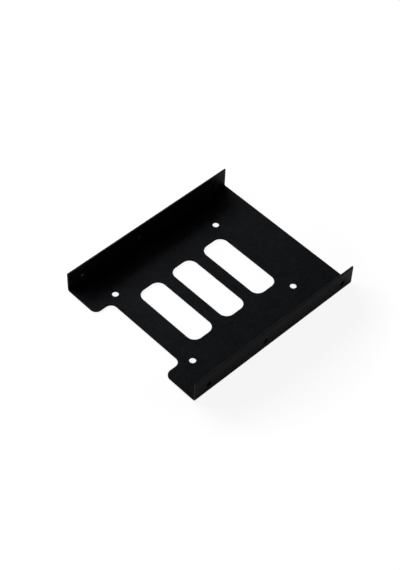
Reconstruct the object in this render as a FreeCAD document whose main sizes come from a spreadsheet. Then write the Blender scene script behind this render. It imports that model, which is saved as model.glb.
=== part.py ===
import FreeCAD, Part
import math
import os
import Sketcher

from FreeCAD import Vector

# Adapter bracket that carries a small drive in the bay of a larger one.
# It is one steel sheet, punched flat and folded up along both long sides.
# X runs across the bracket, Y from its notched front to its back, Z up.
# The origin is on the underside, at the middle of the bracket's box.

# Every driving size, in millimetres, with what it measures.
SIZES = (
    ("outside_width", 101.6, "outer face to outer face of the two flanges"),
    ("sheet_length", 119.6, "front edge to back edge"),
    ("flange_height", 14.2, "underside to the flanges' top edges"),
    ("sheet", 1.0, "thickness of the steel"),
    ("bend_inside", 0.5, "inner radius of the two folds"),
    ("notch_width", 55.3, "across the front notch, between the two ears"),
    ("notch_depth", 11.75, "front edge to the bottom of the notch"),
    ("notch_corner", 4.0, "inner corners of the notch"),
    ("ear_corner", 4.0, "outer corners of the ears, beside the notch"),
    ("window_width", 45.7, "base windows, across the bracket"),
    ("window_reach", 16.2, "base windows, along the bracket"),
    ("window_corner", 5.25, "corners of the base windows"),
    ("window_pitch", 24.0, "one window to the next"),
    ("window_count", 3, "windows in the base"),
    ("window_first", 34.0, "front edge to the middle of the first window"),
    ("drive_hole", 3.8, "clearance holes for the small drive's screws"),
    ("drive_hole_across", 61.72, "small drive's holes, across"),
    ("drive_hole_along", 76.6, "small drive's holes, along"),
    ("drive_hole_first", 17.3, "front edge to the small drive's front holes"),
    ("side_hole_level", 6.35, "underside to the flange holes"),
    ("side_hole_first", 10.0, "front edge to the first flange hole"),
    ("side_hole_last", 8.0, "back edge to the third flange hole"),
    ("side_hole_spacing", 60.0, "third flange hole to the second"),
    ("side_bore", 2.7, "bore of the flange holes, as drilled for the thread"),
    ("side_lead_in", 0.4, "rounding where a flange hole opens on the outer face"),
    ("collar_wall", 0.65, "metal drawn inward around each flange hole"),
    ("collar_rise", 0.75, "collar above the flange's inner face"),
    ("edge_break", 0.15, "what deburring and coating take off every edge"),
    ("run_out", 1.0, "how far a cut passes the metal"),
)

# The points of an edge, in the order that a sketch numbers them.
POINTS = ("whole", "start", "end", "centre")

# The quarters of a circle, anticlockwise from the X axis.
QUARTERS = ("upper right", "upper left", "lower left", "lower right")

ORIGIN = "x_axis start"

# Two faces that meet at more than this angle, in radians, make a sharp edge.
SHARP = 0.3

doc = FreeCAD.newDocument("adapter_bracket")
table = doc.addObject("Spreadsheet::Sheet", "Sizes")
for row, (alias, value, meaning) in enumerate(SIZES, start=1):
    table.set(f"A{row}", meaning)
    table.set(f"B{row}", str(value))
    table.setAlias(f"B{row}", alias)
doc.recompute()


def size(alias):
    """A driving size, read back from the table."""
    return float(table.get(alias))


class Outline:
    """A sketch on one of the body's own planes, drawn edge by edge.

    Edges are joined as they are drawn, and every size is tied to the table.
    """

    def __init__(self, body, name, plane, offset=()):
        self.sketch = body.newObject("Sketcher::SketchObject", name)
        support = next(f for f in body.Origin.OriginFeatures if f.Role == plane)
        self.sketch.AttachmentSupport = [(support, "")]
        self.sketch.MapMode = "FlatFace"
        for axis, expression in offset:
            self.sketch.setExpression(f".AttachmentOffset.Base.{axis}", expression)
        self.edges = {"x_axis": -1, "y_axis": -2}
        self.first = {}
        self.last = {}

    def line(self, name, start, end):
        edge = Part.LineSegment(Vector(*start, 0), Vector(*end, 0))
        self.edges[name] = self.sketch.addGeometry(edge)
        self.first[name] = "start"
        self.last[name] = "end"

    def arc(self, name, centre, radius, quarter, clockwise=False):
        """One quarter of a circle, drawn anticlockwise unless it says otherwise."""
        circle = Part.Circle(Vector(*centre, 0), Vector(0, 0, 1), radius)
        turn = QUARTERS.index(quarter) * math.pi / 2
        edge = Part.ArcOfCircle(circle, turn, turn + math.pi / 2)
        self.edges[name] = self.sketch.addGeometry(edge)
        self.first[name] = "end" if clockwise else "start"
        self.last[name] = "start" if clockwise else "end"

    def circle(self, name, centre, radius):
        edge = Part.Circle(Vector(*centre, 0), Vector(0, 0, 1), radius)
        self.edges[name] = self.sketch.addGeometry(edge)

    def numbers(self, item):
        """How the sketch knows an edge, or a point of it. A size stays as it is."""
        if isinstance(item, float):
            return [item]
        edge, *point = item.split()
        return [self.edges[edge]] + [POINTS.index(word) for word in point]

    def rule(self, kind, *what):
        """A constraint between edges, such as "tip", or their points, such as "tip start"."""
        values = sum((self.numbers(item) for item in what), [])
        return self.sketch.addConstraint(Sketcher.Constraint(kind, *values))

    def tie(self, label, expression, kind, *what):
        """A dimension that follows an expression on the table."""
        index = self.rule(kind, *what)
        self.sketch.renameConstraint(index, label)
        self.sketch.setExpression(f"Constraints.{label}", expression)

    def join(self, before, after, smooth=True):
        kind = "Tangent" if smooth else "Coincident"
        self.rule(kind, f"{before} {self.last[before]}", f"{after} {self.first[after]}")

    def ready(self):
        """The finished sketch, which has to be free of loose ends."""
        doc.recompute()
        if not self.sketch.FullyConstrained:
            raise ValueError(f"{self.sketch.Name} isn't fully constrained")
        return self.sketch


def folded_section(body):
    """The bent sheet seen from its end: a floor, two folds and two flanges."""
    half = size("outside_width") / 2
    top = size("flange_height")
    sheet = size("sheet")
    inside = size("bend_inside")
    outside = inside + sheet
    fold = half - outside

    art = Outline(body, "FoldedSection", "XZ_Plane")
    art.line("left_outer", (-half, top), (-half, outside))
    art.arc("left_fold", (-fold, outside), outside, "lower left")
    art.line("underside", (-fold, 0), (fold, 0))
    art.arc("right_fold", (fold, outside), outside, "lower right")
    art.line("right_outer", (half, outside), (half, top))
    art.line("right_rim", (half, top), (half - sheet, top))
    art.line("right_inner", (half - sheet, top), (half - sheet, outside))
    art.arc("right_fold_inside", (fold, outside), inside, "lower right", clockwise=True)
    art.line("floor", (fold, sheet), (-fold, sheet))
    art.arc("left_fold_inside", (-fold, outside), inside, "lower left", clockwise=True)
    art.line("left_inner", (-half + sheet, outside), (-half + sheet, top))
    art.line("left_rim", (-half + sheet, top), (-half, top))

    for side in ("left", "right"):
        art.rule("Vertical", f"{side}_outer")
        art.rule("Vertical", f"{side}_inner")
        art.rule("Horizontal", f"{side}_rim")
        art.rule("Coincident", f"{side}_fold centre", f"{side}_fold_inside centre")
    art.rule("Horizontal", "underside")
    art.rule("PointOnObject", "underside start", "x_axis")

    art.join("left_outer", "left_fold")
    art.join("left_fold", "underside")
    art.join("underside", "right_fold")
    art.join("right_fold", "right_outer")
    art.join("right_outer", "right_rim", smooth=False)
    art.join("right_rim", "right_inner", smooth=False)
    art.join("right_inner", "right_fold_inside")
    art.join("right_fold_inside", "floor")
    art.join("floor", "left_fold_inside")
    art.join("left_fold_inside", "left_inner")
    art.join("left_inner", "left_rim", smooth=False)
    art.join("left_rim", "left_outer", smooth=False)

    art.rule("Symmetric", "left_outer start", "right_outer end", "y_axis")
    art.rule("Equal", "left_fold", "right_fold")
    art.rule("Equal", "left_fold_inside", "right_fold_inside")
    art.tie("width", "Sizes.outside_width", "DistanceX", "left_outer start", "right_outer end", half * 2)
    art.tie("height", "Sizes.flange_height", "DistanceY", ORIGIN, "right_outer end", top)
    art.tie("inside", "Sizes.bend_inside", "Radius", "right_fold_inside", inside)
    art.tie("outside", "Sizes.bend_inside + Sizes.sheet", "Radius", "right_fold", outside)
    return art.ready()


def notch_outline(body):
    """The front notch, flared by the round corners of the two ears."""
    front = -size("sheet_length") / 2
    bottom = front + size("notch_depth")
    half = size("notch_width") / 2
    inner = size("notch_corner")
    ear = size("ear_corner")
    mouth = half + ear
    outer = front - size("run_out")

    art = Outline(body, "NotchOutline", "XY_Plane")
    art.line("mouth", (-mouth, outer), (mouth, outer))
    art.line("right_mouth", (mouth, outer), (mouth, front))
    art.arc("right_ear", (mouth, front + ear), ear, "lower left", clockwise=True)
    art.line("right_side", (half, front + ear), (half, bottom - inner))
    art.arc("right_corner", (half - inner, bottom - inner), inner, "upper right")
    art.line("bottom", (half - inner, bottom), (-half + inner, bottom))
    art.arc("left_corner", (-half + inner, bottom - inner), inner, "upper left")
    art.line("left_side", (-half, bottom - inner), (-half, front + ear))
    art.arc("left_ear", (-mouth, front + ear), ear, "lower right", clockwise=True)
    art.line("left_mouth", (-mouth, front), (-mouth, outer))

    art.join("mouth", "right_mouth", smooth=False)
    art.join("right_mouth", "right_ear", smooth=False)
    art.join("right_ear", "right_side")
    art.join("right_side", "right_corner")
    art.join("right_corner", "bottom")
    art.join("bottom", "left_corner")
    art.join("left_corner", "left_side")
    art.join("left_side", "left_ear")
    art.join("left_ear", "left_mouth", smooth=False)
    art.join("left_mouth", "mouth", smooth=False)

    for side in ("left", "right"):
        art.rule("Vertical", f"{side}_side")
        art.rule("Vertical", f"{side}_mouth")
    art.rule("Horizontal", "mouth")
    # Each ear's arc starts square to the front edge, so its centre is straight behind it.
    art.rule("Vertical", "right_mouth end", "right_ear centre")
    art.rule("Vertical", "left_mouth start", "left_ear centre")
    art.rule("Symmetric", "bottom start", "bottom end", "y_axis")
    art.rule("Equal", "left_corner", "right_corner")
    art.rule("Equal", "left_ear", "right_ear")
    art.rule("Horizontal", "right_mouth end", "left_mouth start")

    art.tie("notch_width", "Sizes.notch_width", "DistanceX", "left_side end", "right_side start", half * 2)
    art.tie("inner_corner", "Sizes.notch_corner", "Radius", "right_corner", inner)
    art.tie("ear_corner", "Sizes.ear_corner", "Radius", "right_ear", ear)
    art.tie("front", "Sizes.sheet_length / 2", "DistanceY", "right_mouth end", ORIGIN, -front)
    art.tie("depth", "Sizes.notch_depth", "DistanceY", "right_mouth end", "bottom start", bottom - front)
    art.tie("clear", "Sizes.run_out", "DistanceY", "mouth end", "right_mouth end", front - outer)
    return art.ready()


def window_outline(body):
    """The first window in the base, a rectangle with round corners."""
    half = size("window_width") / 2
    reach = size("window_reach") / 2
    corner = size("window_corner")
    middle = size("window_first") - size("sheet_length") / 2
    near = middle - reach
    far = middle + reach

    art = Outline(body, "WindowOutline", "XY_Plane")
    art.line("near_side", (-half + corner, near), (half - corner, near))
    art.arc("near_right", (half - corner, near + corner), corner, "lower right")
    art.line("right_end", (half, near + corner), (half, far - corner))
    art.arc("far_right", (half - corner, far - corner), corner, "upper right")
    art.line("far_side", (half - corner, far), (-half + corner, far))
    art.arc("far_left", (-half + corner, far - corner), corner, "upper left")
    art.line("left_end", (-half, far - corner), (-half, near + corner))
    art.arc("near_left", (-half + corner, near + corner), corner, "lower left")

    art.join("near_side", "near_right")
    art.join("near_right", "right_end")
    art.join("right_end", "far_right")
    art.join("far_right", "far_side")
    art.join("far_side", "far_left")
    art.join("far_left", "left_end")
    art.join("left_end", "near_left")
    art.join("near_left", "near_side")
    art.rule("Horizontal", "far_side")
    art.rule("Vertical", "left_end")
    art.rule("Vertical", "right_end")
    for other in ("far_right", "far_left", "near_left"):
        art.rule("Equal", "near_right", other)
    art.rule("Symmetric", "near_side start", "near_side end", "y_axis")

    art.tie("corner", "Sizes.window_corner", "Radius", "near_right", corner)
    art.tie("width", "Sizes.window_width", "DistanceX", "left_end end", "right_end start", half * 2)
    art.tie("reach", "Sizes.window_reach", "DistanceY", "near_side end", "far_side start", reach * 2)
    from_front = "Sizes.sheet_length / 2 - Sizes.window_first + Sizes.window_reach / 2"
    art.tie("place", from_front, "DistanceY", "near_side end", ORIGIN, -near)
    return art.ready()


def drive_hole_outline(body):
    """Four clearance holes, in the pattern of the small drive's underside."""
    across = size("drive_hole_across") / 2
    along = size("drive_hole_along")
    front = size("drive_hole_first") - size("sheet_length") / 2
    radius = size("drive_hole") / 2

    art = Outline(body, "DriveHoleOutline", "XY_Plane")
    art.circle("front_left", (-across, front), radius)
    art.circle("front_right", (across, front), radius)
    art.circle("back_left", (-across, front + along), radius)
    art.circle("back_right", (across, front + along), radius)
    art.rule("Symmetric", "front_left centre", "front_right centre", "y_axis")
    art.rule("Symmetric", "back_left centre", "back_right centre", "y_axis")
    art.rule("Vertical", "front_right centre", "back_right centre")
    for other in ("front_left", "back_left", "back_right"):
        art.rule("Equal", "front_right", other)
    art.tie("bore", "Sizes.drive_hole / 2", "Radius", "front_right", radius)
    pair = ("front_left centre", "front_right centre")
    art.tie("across", "Sizes.drive_hole_across", "DistanceX", *pair, across * 2)
    art.tie("along", "Sizes.drive_hole_along", "DistanceY", "front_right centre", "back_right centre", along)
    place = "Sizes.sheet_length / 2 - Sizes.drive_hole_first"
    art.tie("place", place, "DistanceY", "front_right centre", ORIGIN, -front)
    return art.ready()


# How far along the bracket each flange hole lies from its middle.
SIDE_HOLES = (
    ("First", "Sizes.side_hole_first - Sizes.sheet_length / 2"),
    ("Second", "Sizes.sheet_length / 2 - Sizes.side_hole_last - Sizes.side_hole_spacing"),
    ("Third", "Sizes.sheet_length / 2 - Sizes.side_hole_last"),
)


def side_hole_frame(along):
    """Where a flange hole's axis meets the right flange's outer face."""
    return (
        ("x", "Sizes.outside_width / 2"),
        ("y", along),
        ("z", "Sizes.side_hole_level"),
    )


def collar_outline(body, name, along):
    """Half section of the metal drawn inward around a flange hole.

    The sketch's X axis is the hole's axis, with the flange's outer face at zero.
    """
    sheet = size("sheet")
    bore = size("side_bore") / 2
    skin = bore + size("collar_wall")
    tip = sheet + size("collar_rise")
    middle = sheet / 2

    art = Outline(body, name, "XY_Plane", side_hole_frame(along))
    art.line("in_sheet", (-middle, bore), (-middle, skin))
    art.line("skin", (-middle, skin), (-tip, skin))
    art.line("tip", (-tip, skin), (-tip, bore))
    art.line("bore", (-tip, bore), (-middle, bore))
    art.join("in_sheet", "skin", smooth=False)
    art.join("skin", "tip", smooth=False)
    art.join("tip", "bore", smooth=False)
    art.join("bore", "in_sheet", smooth=False)
    art.rule("Vertical", "in_sheet")
    art.rule("Horizontal", "skin")
    art.rule("Vertical", "tip")
    art.rule("Horizontal", "bore")

    art.tie("bore", "Sizes.side_bore / 2", "DistanceY", ORIGIN, "bore start", bore)
    art.tie("wall", "Sizes.collar_wall", "DistanceY", "tip end", "tip start", skin - bore)
    art.tie("overlap", "Sizes.sheet / 2", "DistanceX", "in_sheet start", ORIGIN, middle)
    art.tie("tip", "Sizes.sheet + Sizes.collar_rise", "DistanceX", "tip start", ORIGIN, tip)
    return art.ready()


def bore_outline(body, name, along):
    """Half section of what a flange hole leaves open, with its rounded mouth."""
    bore = size("side_bore") / 2
    lead = size("side_lead_in")
    clear = size("run_out")
    end = size("sheet") + size("collar_rise") + clear

    art = Outline(body, name, "XY_Plane", side_hole_frame(along))
    art.line("axis", (-end, 0), (clear, 0))
    art.line("outside", (clear, 0), (clear, bore + lead))
    art.line("mouth", (clear, bore + lead), (0, bore + lead))
    art.arc("lead_in", (-lead, bore + lead), lead, "lower right", clockwise=True)
    art.line("bore", (-lead, bore), (-end, bore))
    art.line("inside", (-end, bore), (-end, 0))
    art.join("axis", "outside", smooth=False)
    art.join("outside", "mouth", smooth=False)
    art.join("mouth", "lead_in", smooth=False)
    art.join("lead_in", "bore")
    art.join("bore", "inside", smooth=False)
    art.join("inside", "axis", smooth=False)
    art.rule("Vertical", "outside")
    art.rule("Horizontal", "mouth")
    art.rule("Horizontal", "bore")
    art.rule("Vertical", "inside")
    art.rule("PointOnObject", "axis start", "x_axis")
    art.rule("PointOnObject", "axis end", "x_axis")
    # The mouth's arc starts in the outer face, with no step.
    art.rule("PointOnObject", "mouth end", "y_axis")
    art.rule("Horizontal", "mouth end", "lead_in centre")

    art.tie("bore", "Sizes.side_bore / 2", "DistanceY", "inside end", "inside start", bore)
    art.tie("lead_in", "Sizes.side_lead_in", "Radius", "lead_in", lead)
    art.tie("clear", "Sizes.run_out", "DistanceX", ORIGIN, "axis end", clear)
    depth = "Sizes.sheet + Sizes.collar_rise + Sizes.run_out"
    art.tie("end", depth, "DistanceX", "axis start", ORIGIN, end)
    return art.ready()


def cut(body, name, outline):
    """Cuts an outline on the underside up through the floor."""
    before = body.Tip.Shape.Volume
    pocket = body.newObject("PartDesign::Pocket", name)
    pocket.Profile = outline
    pocket.Type = "Length"
    pocket.Reversed = True
    pocket.setExpression("Length", "Sizes.sheet + Sizes.run_out")
    doc.recompute()
    if pocket.Shape.Volume >= before:
        raise ValueError(f"{name} cuts nothing")
    return pocket


def turned(body, kind, name, outline):
    """Turns a half section about its sketch's X axis."""
    feature = body.newObject(kind, name)
    feature.Profile = outline
    feature.ReferenceAxis = (outline, ["H_Axis"])
    feature.Angle = 360
    doc.recompute()
    return feature


def sharp_edges(shape):
    """Names of the edges where two faces meet at a corner.

    The inner rim of each collar isn't one of them, because its thread is cut last.
    """
    bore = size("side_bore") / 2
    found = []
    for number, edge in enumerate(shape.Edges, start=1):
        if isinstance(edge.Curve, Part.Circle) and math.isclose(edge.Curve.Radius, bore):
            continue
        start, end = edge.ParameterRange
        middle = edge.valueAt((start + end) / 2)
        normals = []
        for face in shape.ancestorsOfType(edge, Part.Face):
            across, along = face.Surface.parameter(middle)
            normals.append(face.normalAt(across, along))
        if len(normals) == 2 and normals[0].getAngle(normals[1]) > SHARP:
            found.append(f"Edge{number}")
    return found


def make_bracket():
    body = doc.addObject("PartDesign::Body", "bracket")
    body.Label = "bracket"

    folded = body.newObject("PartDesign::Pad", "FoldedSheet")
    folded.Profile = folded_section(body)
    folded.SideType = "Symmetric"
    folded.setExpression("Length", "Sizes.sheet_length")
    doc.recompute()

    cut(body, "FrontNotch", notch_outline(body))

    window = cut(body, "FirstWindow", window_outline(body))
    windows = body.newObject("PartDesign::LinearPattern", "Windows")
    windows.Originals = [window]
    lengthwise = next(f for f in body.Origin.OriginFeatures if f.Role == "Y_Axis")
    windows.Direction = (lengthwise, [""])
    windows.setExpression("Length", "Sizes.window_pitch * (Sizes.window_count - 1)")
    windows.setExpression("Occurrences", "Sizes.window_count")
    body.Tip = windows
    doc.recompute()

    cut(body, "DriveHoles", drive_hole_outline(body))

    drawn = []
    for place, along in SIDE_HOLES:
        collar = collar_outline(body, f"{place}CollarOutline", along)
        drawn.append(turned(body, "PartDesign::Revolution", f"{place}Collar", collar))
        bore = bore_outline(body, f"{place}BoreOutline", along)
        drawn.append(turned(body, "PartDesign::Groove", f"{place}Bore", bore))

    other_side = body.newObject("PartDesign::Mirrored", "OtherFlange")
    other_side.Originals = drawn
    middle = next(f for f in body.Origin.OriginFeatures if f.Role == "YZ_Plane")
    other_side.MirrorPlane = (middle, [""])
    body.Tip = other_side
    doc.recompute()

    broken = body.newObject("PartDesign::Chamfer", "BrokenEdges")
    broken.Base = (other_side, sharp_edges(other_side.Shape))
    broken.setExpression("Size", "Sizes.edge_break")
    doc.recompute()
    return body


bracket = make_bracket()

for item in doc.Objects:
    if "Invalid" in item.State or "Error" in item.State:
        raise ValueError(f"{item.Name} failed: {item.State}")
if bracket.Shape.isNull() or not bracket.Shape.isValid():
    raise ValueError("the bracket has no valid shape")
if len(bracket.Shape.Solids) != 1:
    raise ValueError(f"the bracket is {len(bracket.Shape.Solids)} solids, not one")

box = bracket.Shape.optimalBoundingBox()
print(f"bracket {box.XLength:.2f} x {box.YLength:.2f} x {box.ZLength:.2f} mm")
print(f"steel {bracket.Shape.Volume:.1f} cubic millimetres, {len(bracket.Shape.Faces)} faces")

os.makedirs("parts", exist_ok=True)
bracket.Shape.exportStep(f"parts/{bracket.Label}.step")
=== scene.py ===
# %% [markdown]
# # A drive bay adapter bracket, dressed in black coat
#
# The bracket is one steel sheet: a flat floor with three long windows, and two
# flanges folded up along its sides. Its whole shape comes from the construction
# model. What is left to do here is what a model of the shape can't say: how the
# baked black coat takes the light, and the fine thread inside the flange holes.
#
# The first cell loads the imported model. It arrives in metres, standing on the
# ground, with X across the bracket and Y from its notched front to its back.

# %% Load the bracket
import math

import bpy
from mathutils import Matrix, Vector


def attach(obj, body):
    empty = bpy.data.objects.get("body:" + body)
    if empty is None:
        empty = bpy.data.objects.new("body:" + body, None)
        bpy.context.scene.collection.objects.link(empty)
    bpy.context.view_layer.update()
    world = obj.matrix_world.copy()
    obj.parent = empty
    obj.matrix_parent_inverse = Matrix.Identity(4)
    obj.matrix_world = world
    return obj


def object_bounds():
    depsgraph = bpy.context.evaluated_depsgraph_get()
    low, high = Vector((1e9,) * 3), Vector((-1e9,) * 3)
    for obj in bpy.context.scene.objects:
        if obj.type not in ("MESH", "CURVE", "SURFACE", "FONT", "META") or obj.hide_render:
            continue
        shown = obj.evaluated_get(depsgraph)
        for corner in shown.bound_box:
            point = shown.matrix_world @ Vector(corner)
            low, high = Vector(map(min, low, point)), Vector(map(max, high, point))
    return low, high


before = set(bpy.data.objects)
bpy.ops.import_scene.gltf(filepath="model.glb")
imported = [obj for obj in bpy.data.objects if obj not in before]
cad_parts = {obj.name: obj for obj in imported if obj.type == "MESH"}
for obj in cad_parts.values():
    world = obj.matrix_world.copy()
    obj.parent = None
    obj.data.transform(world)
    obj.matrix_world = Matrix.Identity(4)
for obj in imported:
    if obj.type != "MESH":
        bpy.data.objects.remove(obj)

MM = 0.001

cad_low, cad_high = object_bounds()
print("bracket", [round(side / MM, 2) for side in cad_high - cad_low], "mm")

# %% [markdown]
# ## Writing a material as sums
#
# A material in Blender is a web of nodes. Laid out by hand it is quick to read,
# but written out in code, node by node, even a short sum takes a page. So one
# small class wraps a socket and gives it the signs of arithmetic: adding two
# wrapped sockets adds the Math node that does it. The mirrored forms, such as
# `__rsub__`, are there so that `1 - mask` works as well as `mask - 1`.
#
# Everything else, such as a noise or a bump, comes from the one method `node`. It
# sets what kind of node it is first, because that decides which sockets it has.

# %% A socket that can be used in sums
class Wire:
    """One output of a node, in the tree that it belongs to."""

    def __init__(self, tree, socket=None):
        self.tree = tree
        self.socket = socket

    def node(self, kind, settings=None, sockets=None):
        """Adds a node, sets it up, and fills or links its sockets."""
        made = self.tree.nodes.new(kind)
        for name, value in (settings or {}).items():
            setattr(made, name, value)
        for name, value in (sockets or {}).items():
            if isinstance(value, Wire):
                self.tree.links.new(value.socket, made.inputs[name])
            else:
                made.inputs[name].default_value = value
        return made

    def out(self, made, name=0):
        """An output of a node, ready for sums."""
        return Wire(self.tree, made.outputs[name])

    def sum(self, operation, first, second):
        settings = {"operation": operation}
        return self.out(self.node("ShaderNodeMath", settings, {0: first, 1: second}))

    def __add__(self, other):
        return self.sum("ADD", self, other)

    def __radd__(self, other):
        return self.sum("ADD", other, self)

    def __sub__(self, other):
        return self.sum("SUBTRACT", self, other)

    def __rsub__(self, other):
        return self.sum("SUBTRACT", other, self)

    def __mul__(self, other):
        return self.sum("MULTIPLY", self, other)

    def __rmul__(self, other):
        return self.sum("MULTIPLY", other, self)


def empty_material(name):
    """A new material with a bare tree, and a wire to start it from."""
    made = bpy.data.materials.new(name)
    made.use_nodes = True
    made.node_tree.nodes.clear()
    return made, Wire(made.node_tree)


# %% [markdown]
# ## The black coat
#
# The steel is sprayed black and baked. The coat is a satin: looked at straight on
# it is a plain soft black, and at a low angle it takes on a pale, blurred image of
# the white that it stands on. Three numbers carry this: a very low colour, a
# moderate roughness, and a weak reflection. A stronger reflection would be the
# usual choice for paint, but it greys the faces that are seen straight on, and the
# inner faces of this bracket stay deep black.
#
# A baked coat isn't smooth. It has a fine grain, mottling a millimetre or two
# across, and longer, very shallow waves where it flowed before it set. All three
# tilt the surface through a bump. The mottling and the waves also make the colour
# and the gloss uneven, because the coat isn't equally thick everywhere. Along the
# top rims of the flanges and on the front and back ends, the colour is painted
# lighter: a painted highlight, standing in for light that catches those edges.
#
# The tapped holes go the other way. A thread traps light, and its hole looks dark.
# The wall between the ridges is smooth here and would shine, so inside the holes
# the coat is made dull, and its colour is painted darker as shade, out to a thin
# ring round the mouth. Whether a spot is inside a hole comes from how far it is
# from the hole's axis, worked out from the two coordinates across it.

# %% The coat's noises
# Each noise: how large its blobs are, how many finer layers it has, and its seed.
GRAIN = (0.28 * MM, 2, 1.0)
SPECK = (1.5 * MM, 3, 4.0)
WAVE = (14 * MM, 2, 9.0)


def noise(wire, where, size, detail, seed):
    """A soft random pattern from 0 to 1, whose blobs are about `size` across."""
    settings = {"noise_dimensions": "4D"}
    sockets = {"Vector": where, "W": seed, "Scale": 1 / size, "Detail": detail}
    made = wire.node("ShaderNodeTexNoise", settings, sockets)
    return wire.out(made, "Fac")


def mix(wire, share, first, second):
    """A colour between two others."""
    sockets = {"Factor": share, "A": first, "B": second}
    made = wire.node("ShaderNodeMix", {"data_type": "RGBA"}, sockets)
    return wire.out(made, "Result")


# %% Where the coat differs
# In millimetres: how high the flange holes are and where they are along the
# bracket, how far round a hole's axis the dull coat and its painted shade reach,
# and how far from a sheared face the painted highlight reaches.
HOLE_LEVEL = 6.35
HOLE_PLACES = {"front": -49.8, "middle": -8.2, "back": 51.8}
HOLE_REACH = 1.78
HIGHLIGHT_REACH = 0.17


def in_flange_holes(wire, place):
    """1 on the walls of the six flange holes, and 0 elsewhere."""
    apart = wire.node("ShaderNodeSeparateXYZ", None, {"Vector": place})
    along, level = wire.out(apart, "Y"), wire.out(apart, "Z") - HOLE_LEVEL * MM
    gaps = [(along - y * MM) * (along - y * MM) for y in HOLE_PLACES.values()]
    nearest = wire.sum("MINIMUM", wire.sum("MINIMUM", gaps[0], gaps[1]), gaps[2])
    return wire.sum("LESS_THAN", nearest + level * level, (HOLE_REACH * MM) ** 2)


def highlight_rims_and_ends(wire, place):
    """1 on the top rims and the end faces, where a highlight is painted, and 0 elsewhere.
    """
    apart = wire.node("ShaderNodeSeparateXYZ", None, {"Vector": place})
    from_middle = wire.sum("ABSOLUTE", wire.out(apart, "Y"), 0)
    end, rim = cad_high.y - HIGHLIGHT_REACH * MM, cad_high.z - HIGHLIGHT_REACH * MM
    on_end = wire.sum("GREATER_THAN", from_middle, end)
    on_rim = wire.sum("GREATER_THAN", wire.out(apart, "Z"), rim)
    return wire.sum("MAXIMUM", on_rim, on_end)


# %% The coat's material
COAT_COLOUR = (0.0095, 0.0102, 0.0118)
COAT_ROUGHNESS = 0.36
COAT_REFLECTION = 0.025
HOLE_ROUGHNESS = 0.95
MIDDLE = 0.5  # what a noise, or an even mix, is on average

# How light the coat is from place to place, as a share of its colour: random
# mottling, a painted highlight on the edges and painted shade in the holes; and the
# least that an edge shows of its painted highlight.
DARKEST, LIGHTEST, EDGE_HIGHLIGHT_TONE, HOLE_SHADE_TONE = 0.6, 1.4, 1.8, 0.25
HIGHLIGHT_LEAST = 0.4

# how much the mottling and the waves change the tone and the roughness
SPECK_TONE, WAVE_TONE = 1.5, 0.6
SPECK_ROUGHNESS, WAVE_ROUGHNESS = 0.16, 0.10

# each noise's share in the relief, and how deep and strong the relief is
GRAIN_RELIEF, SPECK_RELIEF, WAVE_RELIEF = 0.7, 0.5, 0.6
RELIEF_DEPTH = 0.085 * MM
RELIEF_STRENGTH = 0.7


def toned(share):
    """The coat's colour, made lighter or darker."""
    return tuple(share * part for part in COAT_COLOUR) + (1,)


def black_coat():
    """The coat, with its mottling, its painted edge highlight and its painted shade in the
    holes.
    """
    made, wire = empty_material("black_coat")
    place = wire.out(wire.node("ShaderNodeTexCoord"), "Object")
    grain, speck, wave = [noise(wire, place, *kind) for kind in (GRAIN, SPECK, WAVE)]
    speck_off, wave_off = speck - MIDDLE, wave - MIDDLE
    dull_shaded_holes = in_flange_holes(wire, place)
    edge_highlight = highlight_rims_and_ends(wire, place) * (HIGHLIGHT_LEAST + speck)

    rough = COAT_ROUGHNESS + WAVE_ROUGHNESS * wave_off + SPECK_ROUGHNESS * speck_off
    rough = rough * (1 - dull_shaded_holes) + HOLE_ROUGHNESS * dull_shaded_holes

    mottling = MIDDLE + SPECK_TONE * speck_off + WAVE_TONE * wave_off
    tint = mix(wire, mottling, toned(DARKEST), toned(LIGHTEST))
    # painted highlight: the rims and the ends are made lighter
    tint = mix(wire, edge_highlight, tint, toned(EDGE_HIGHLIGHT_TONE))
    # painted shade: the holes and a thin ring round their mouths are made darker
    tint = mix(wire, dull_shaded_holes, tint, toned(HOLE_SHADE_TONE))

    relief = grain * GRAIN_RELIEF + speck * SPECK_RELIEF + wave * WAVE_RELIEF
    sockets = {"Strength": RELIEF_STRENGTH, "Distance": RELIEF_DEPTH, "Height": relief}
    bump = wire.node("ShaderNodeBump", None, sockets)

    sockets = {
        "Base Color": tint,
        "Roughness": rough,
        "Specular IOR Level": COAT_REFLECTION,
        "Normal": wire.out(bump),
    }
    surface = wire.node("ShaderNodeBsdfPrincipled", None, sockets)
    wire.node("ShaderNodeOutputMaterial", None, {"Surface": wire.out(surface)})
    return made


coat = black_coat()
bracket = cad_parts["bracket"]
for slot in bracket.material_slots:
    slot.material = coat
nodes = len(coat.node_tree.nodes)
print("coat on", len(bracket.material_slots), "slot with", nodes, "nodes")

# %% [markdown]
# ## The thread in the flange holes
#
# Each flange hole is tapped for the drive bay's screws. The model of the shape
# has a plain bore there, so the grooves are closed and only the tops of the
# ridges can be added, which stand out of the wall. They are also what shows.
#
# A thread could be a spiral made with the Screw modifier, but that can't let the
# ridge rise and fade as a tap leaves it. So the ridge is laid out point by point: a
# row of four corners is turned about the hole's axis while it moves along it, and
# its height grows at the start and shrinks at the end. The first and the last row
# are closed, so that each ridge is a solid of its own.

# %% The ridge's sizes
# In millimetres. The radii are measured from the hole's axis, and the two ends of
# the ridge from the bracket's middle. The foot is sunk a little into the wall of
# the bore, and the flanks slope by 30 degrees.
INCH = 25.4
TURNS_PER_INCH = 32
PITCH = INCH / TURNS_PER_INCH
PITCH_RADIUS = 1.495
BORE = 1.35
SUNK = 0.06
RIDGE_FOOT = BORE + SUNK
RIDGE_CREST = 1.28
FLANK = math.tan(math.radians(30))
INNER_END, OUTER_END = 49.2, 50.55
TURNS = (OUTER_END - INNER_END) / PITCH
STEPS_PER_TURN = 48
CORNERS = 4

# the share of the ridge's length over which it fades, and what is left at its ends
FADE = 0.3
END_HEIGHT, END_WIDTH = 0.1, 0.3
print("thread pitch", round(PITCH, 3), "mm,", round(TURNS, 2), "turns")


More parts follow.
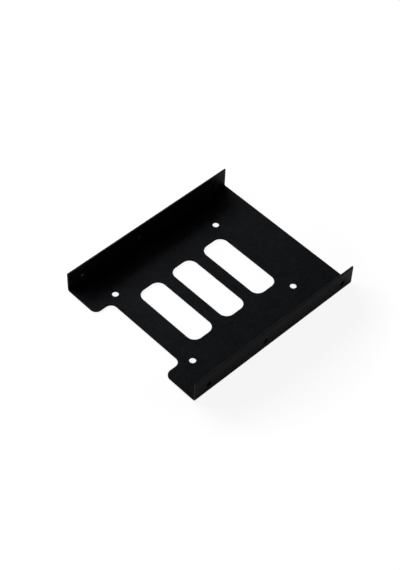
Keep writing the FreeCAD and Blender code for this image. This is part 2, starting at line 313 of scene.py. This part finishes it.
# %% One ridge, as points and faces
def ridge(side, y, z):
    """The ridge in the hole at (y, z) of the flange on that side, 1 or -1."""
    steps = round(TURNS * STEPS_PER_TURN)
    points, faces = [], []
    for step in range(steps + 1):
        share = step / steps
        rise = min(1, share / FADE, (1 - share) / FADE)
        tall = END_HEIGHT + (1 - END_HEIGHT) * rise
        wide = END_WIDTH + (1 - END_WIDTH) * rise
        crest = RIDGE_FOOT - (RIDGE_FOOT - RIDGE_CREST) * tall
        # at the pitch radius, half the ridge's width is a quarter of the pitch
        foot_half = (PITCH / 4 + (RIDGE_FOOT - PITCH_RADIUS) * FLANK) * wide
        crest_half = foot_half - (RIDGE_FOOT - crest) * FLANK * wide
        angle = 2 * math.pi * TURNS * share
        along = INNER_END + (OUTER_END - INNER_END) * share
        row = (
            (RIDGE_FOOT, foot_half),
            (crest, crest_half),
            (crest, -crest_half),
            (RIDGE_FOOT, -foot_half),
        )
        for radius, offset in row:
            x = side * (along + offset)
            sideways, up = radius * math.cos(angle), radius * math.sin(angle)
            points.append((x * MM, (y + sideways) * MM, (z + up) * MM))
    for step in range(steps):
        start = CORNERS * step
        for corner in range(CORNERS):
            a, b = start + corner, start + (corner + 1) % CORNERS
            faces.append((a, b, b + CORNERS, a + CORNERS))
    faces.append(tuple(reversed(range(CORNERS))))
    faces.append(tuple(CORNERS * steps + corner for corner in range(CORNERS)))
    if side > 0:  # turned round on this side, so that all faces look outward
        faces = [tuple(reversed(face)) for face in faces]
    return points, faces


# %% The six threads
SIDES = {"right": 1, "left": -1}

threads = []
for side_name, side in SIDES.items():
    for place_name, y in HOLE_PLACES.items():
        name = f"thread_{side_name}_{place_name}"
        mesh = bpy.data.meshes.new(name)
        points, faces = ridge(side, y, HOLE_LEVEL)
        mesh.from_pydata(points, [], faces)
        mesh.materials.append(coat)
        thread = bpy.data.objects.new(name, mesh)
        bpy.context.scene.collection.objects.link(thread)
        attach(thread, "root")
        threads.append(thread)
print(len(threads), "threads of", len(threads[0].data.polygons), "faces each")

# %% [markdown]
# ## The studio
#
# A product like this is shot on white. The ground is a wide white sheet, and the
# air round it is white too, so that nothing behind the object ends in an edge.
# Both are whitened only where they are seen, straight or in a reflection: that is
# what the Light Path node tells apart. The light that falls on the object stays
# at a plain level, at which a colour comes out about as it is written, and the
# ground still takes the object's soft shadow.
#
# What a satin black mirrors matters as much as what lights it. Overhead the
# studio is dark, so the tray's floor stays black. The ground is white, but less so
# under and beside the bracket, which stands over it: the Ambient Occlusion node
# measures how much of the sky a spot of the ground still has. So a flange mirrors
# dim ground near its foot and bright ground near its rim.

# %% Where the white is seen
def grey(level):
    """A grey of that level, from 0 to 1, as a colour."""
    return (level, level, level, 1)


def seen(wire):
    """1 for a ray that shows the background, straight, mirrored or through glass."""
    path = wire.node("ShaderNodeLightPath")
    straight = wire.out(path, "Is Camera Ray")
    mirrored = wire.out(path, "Is Glossy Ray")
    through = wire.out(path, "Is Transmission Ray")
    return wire.sum("MAXIMUM", wire.sum("MAXIMUM", straight, mirrored), through)


def shown_level(wire, mirrored_level):
    """1 where the background is seen straight, and a level of its own in mirrors."""
    path = wire.node("ShaderNodeLightPath")
    return wire.sum("MAXIMUM", wire.out(path, "Is Camera Ray"), mirrored_level)


def soft_step(wire, value, start, end, before, after):
    """Goes softly from one level to another while the value goes from start to end."""
    settings = {"interpolation_type": "SMOOTHSTEP"}
    sockets = {
        "Value": value,
        "From Min": start,
        "From Max": end,
        "To Min": before,
        "To Max": after,
    }
    return wire.out(wire.node("ShaderNodeMapRange", settings, sockets))


# %% The air, white all round and dark overhead
# The ceiling starts at one height and is full from another on, where 0 is the
# horizon and 1 is straight overhead.
AIR_LIGHT = 0.02
CEILING = 0.08
CEILING_FROM, CEILING_FULL = 0.42, 0.72

world = bpy.data.worlds.new("air")
world.use_nodes = True
world.node_tree.nodes.clear()
air = Wire(world.node_tree)


def air_of(strength):
    """White air of that strength."""
    sockets = {"Color": grey(1), "Strength": strength}
    return air.out(air.node("ShaderNodeBackground", None, sockets))


way = air.out(air.node("ShaderNodeTexCoord"), "Generated")
height = air.out(air.node("ShaderNodeSeparateXYZ", None, {"Vector": way}), "Z")
walls = soft_step(air, height, CEILING_FROM, CEILING_FULL, 1.0, 0.0)
sockets = {0: shown_level(air, walls), 1: air_of(CEILING), 2: air_of(1.0)}
shown = air.out(air.node("ShaderNodeMixShader", None, sockets))
sockets = {0: seen(air), 1: air_of(AIR_LIGHT), 2: shown}
everywhere = air.out(air.node("ShaderNodeMixShader", None, sockets))
air.node("ShaderNodeOutputWorld", None, {"Surface": everywhere})
bpy.context.scene.world = world
print("air of", len(world.node_tree.nodes), "nodes, lights with", AIR_LIGHT)

# %% Paper that shows white
# For the light that it throws back, the sheet is plain white paper. Seen, it is a
# glow and a thin layer of lamplight, and only that layer carries the shadow. Near
# the bracket the glow leaves room for that layer, and far away it is white alone.
FLOOR_WHITE = 0.9
SHADOW_SHARE = 0.15
GLOW_NEAR, GLOW_FAR = 0.91, 1.0
HALO_FROM, HALO_TO = 75 * MM, 130 * MM

# how near the bracket has to be to hide the sky from a spot of the sheet, and how
# strongly that dims the spot where it is mirrored
NEARBY = 15 * MM
NEARBY_DARK = 2.5


def matt(wire, level):
    """A matt surface of that grey."""
    return wire.out(wire.node("ShaderNodeBsdfDiffuse", None, {"Color": grey(level)}))


def glowing(wire, strength):
    """A surface that glows with that strength."""
    return wire.out(wire.node("ShaderNodeEmission", None, {"Strength": strength}))


def white_paper():
    """The sheet's paper, with its glow where it is seen."""
    made, wire = empty_material("white_paper")
    open_sky = wire.node("ShaderNodeAmbientOcclusion", None, {"Distance": NEARBY})
    near_dark = wire.sum("POWER", wire.out(open_sky, "AO"), NEARBY_DARK)
    spot = wire.out(wire.node("ShaderNodeTexCoord"), "Object")
    settings = {"operation": "LENGTH"}
    away = wire.out(wire.node("ShaderNodeVectorMath", settings, {0: spot}), "Value")
    halo = soft_step(wire, away, HALO_FROM, HALO_TO, GLOW_NEAR, GLOW_FAR)

    bright = halo * shown_level(wire, near_dark)
    sockets = {0: bright, 1: glowing(wire, 0.0), 2: glowing(wire, 1.0)}
    glow = wire.out(wire.node("ShaderNodeMixShader", None, sockets))
    sockets = {0: matt(wire, SHADOW_SHARE), 1: glow}
    white = wire.out(wire.node("ShaderNodeAddShader", None, sockets))
    sockets = {0: seen(wire), 1: matt(wire, FLOOR_WHITE), 2: white}
    both = wire.out(wire.node("ShaderNodeMixShader", None, sockets))
    wire.node("ShaderNodeOutputMaterial", None, {"Surface": both})
    return made


# %% The white sheet that it stands on
# It lies a hair below the bracket, because two faces in one plane flicker through
# each other.
FLOOR_LEVEL = -0.05 * MM
FLOOR_REACH = 6.0
WAYS = ((-1, -1), (1, -1), (1, 1), (-1, 1))

floor_mesh = bpy.data.meshes.new("floor")
corners = [(x * FLOOR_REACH, y * FLOOR_REACH, FLOOR_LEVEL) for x, y in WAYS]
floor_mesh.from_pydata(corners, [], [(0, 1, 2, 3)])
floor = bpy.data.objects.new("floor", floor_mesh)
bpy.context.scene.collection.objects.link(floor)
floor_mesh.materials.append(white_paper())
print("sheet", 2 * FLOOR_REACH, "m wide")

# %% [markdown]
# ## The lamps
#
# In the photo the far flange is black inside, and its shade lies on the tray's
# floor, which gets lighter away from it. So the main lamp is a soft box, low and at
# the left. A smaller one at the front left lightens the front. How bright each is
# was worked out by rendering one lamp at a time and finding the mix of those
# pictures that is nearest to the photo.

# %% Two soft boxes
# Each lamp: its azimuth and elevation in degrees, how far, how wide and how tall
# it is in metres, and how bright it makes a white surface that faces it.
LAMPS = {
    "soft_box": (-93, 22, 0.3, 0.4, 0.18, 1.75),
    "front_box": (-60, 27, 0.25, 0.15, 0.15, 0.45),
}


def towards(azimuth, elevation):
    """The way to a point round the object: 0 degrees is in front, 90 to its right."""
    turn, rise = math.radians(azimuth), math.radians(elevation)
    flat = math.cos(rise)
    return Vector((math.sin(turn) * flat, -math.cos(turn) * flat, math.sin(rise)))


for name, (azimuth, elevation, distance, width, height, share) in LAMPS.items():
    lamp = bpy.data.lights.new(name, "AREA")
    lamp.shape = "RECTANGLE"
    lamp.size = width
    lamp.size_y = height
    # its light thins out with the square of the distance
    lamp.energy = share * (math.pi * distance) ** 2
    holder = bpy.data.objects.new(name, lamp)
    bpy.context.scene.collection.objects.link(holder)
    holder.location = towards(azimuth, elevation) * distance
    holder.rotation_mode = "QUATERNION"
    holder.rotation_quaternion = (-holder.location).to_track_quat("-Z", "Y")
    print(name, round(lamp.energy, 2), "watts")

# %% [markdown]
# ## The camera
#
# The photo was solved as a perspective view against the drives' screw patterns.
# That gave the way that the camera looks, its small tilt, its distance and how
# long its lens is. It aims at a point on the floor of the bracket.

# %% Place the camera
# Angles are in degrees, and the lens is in millimetres.
VIEW_AZIMUTH = 44.535
VIEW_ELEVATION = 49.899
VIEW_TILT = 2.463
VIEW_DISTANCE = 814.7 * MM
LENS = 93.157
AIM = Vector((-4.155, -3.825, 1.0)) * MM
NEAREST, FARTHEST = 0.05, 20

camera_data = bpy.data.cameras.new("camera")
camera_data.lens = LENS
camera_data.clip_start = NEAREST
camera_data.clip_end = FARTHEST
camera = bpy.data.objects.new("camera", camera_data)
bpy.context.scene.collection.objects.link(camera)
back = towards(VIEW_AZIMUTH, VIEW_ELEVATION)
upright = (-back).to_track_quat("-Z", "Y").to_matrix().to_4x4()
tilt = Matrix.Rotation(math.radians(VIEW_TILT), 4, "Z")
camera.matrix_world = Matrix.Translation(AIM + back * VIEW_DISTANCE) @ upright @ tilt
bpy.context.scene.camera = camera
print("camera at", [round(c / MM, 1) for c in camera.matrix_world.translation], "mm")

# %% [markdown]
# ## Finish
#
# The colours are shown as they are, with no film look.

# %% Finish
bpy.context.scene.view_settings.view_transform = "Standard"
